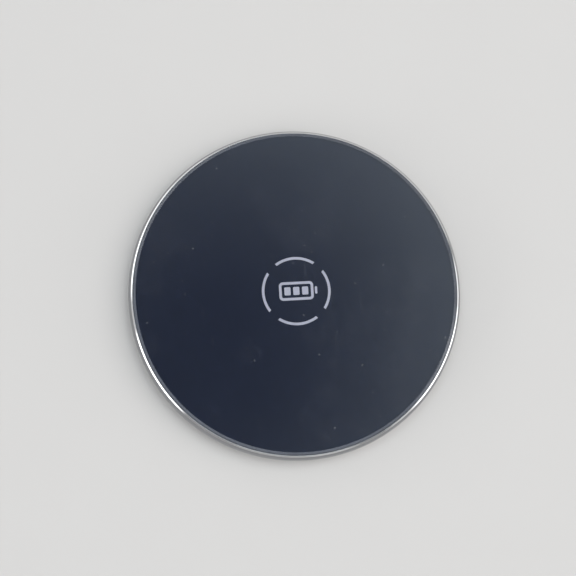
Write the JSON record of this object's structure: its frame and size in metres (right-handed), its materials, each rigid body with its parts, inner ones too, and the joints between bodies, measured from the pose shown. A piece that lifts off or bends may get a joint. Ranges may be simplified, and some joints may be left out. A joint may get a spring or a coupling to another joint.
{
  "type": "wireless charging pad",
  "caption": "Slim round charging pad: clear plate over a dark film in a polished metal rim, with a flat coil on ferrite, a curved circuit board and a side inlet.",
  "frame": {"origin": "middle of the plane that the feet stand on", "axes": "+Z up through the plate, +Y towards the inlet, +X to the right of the inlet seen from above with +Y up"},
  "size_m": [0.1, 0.0998, 0.008],
  "materials": {
    "clear_plate": "gloss",
    "dark_film": "gloss",
    "mark_ink": "screen print",
    "polished_rim": "mirror polished",
    "black_plastic": "fine moulded texture",
    "base_plastic": "fine moulded texture",
    "copper_wire": "enamelled stranded wire",
    "lead_wire": "enamelled stranded wire",
    "amber_tape": "semi gloss",
    "ferrite": "matte ground",
    "foam": "open cell",
    "thermistor_bead": "dipped resin",
    "board": "solder mask",
    "solder": "bright",
    "chip_black": "satin",
    "capacitor_ceramic": "satin",
    "resistor_black": "satin",
    "inductor_grey": "satin",
    "led_body": "satin",
    "light_pipe_clear": "gloss",
    "inlet_steel": "drawn",
    "inlet_plastic": "satin",
    "gold_contact": "plated",
    "screw_steel": "zinc plated",
    "foot_rubber": "matte"
  },
  "bodies": {
    "root": {"top_plate": "clear_plate", "printed_mark": "mark_ink", "backing_film": "dark_film", "rim_ring": "polished_rim", "upper_shell": "black_plastic", "base_cover": "base_plastic", "charging_coil": "copper_wire", "coil_leads": "lead_wire", "coil_tape": "amber_tape", "ferrite_shield": "ferrite", "foam_pad": "foam", "thermistor": "thermistor_bead", "circuit_board": "board", "solder_joints": "solder", "controller_chip": "chip_black", "protocol_chip": "chip_black", "power_switches": "chip_black", "resonant_capacitors": "capacitor_ceramic", "decoupling_capacitors": "capacitor_ceramic", "sense_resistors": "resistor_black", "filter_inductor": "inductor_grey", "indicator_leds": "led_body", "light_pipe": "light_pipe_clear", "usb_shell": "inlet_steel", "usb_tongue": "inlet_plastic", "usb_contacts": "gold_contact", "board_screws": "screw_steel", "base_screws": "screw_steel", "rubber_feet": "foot_rubber"}
  },
  "joints": []
}
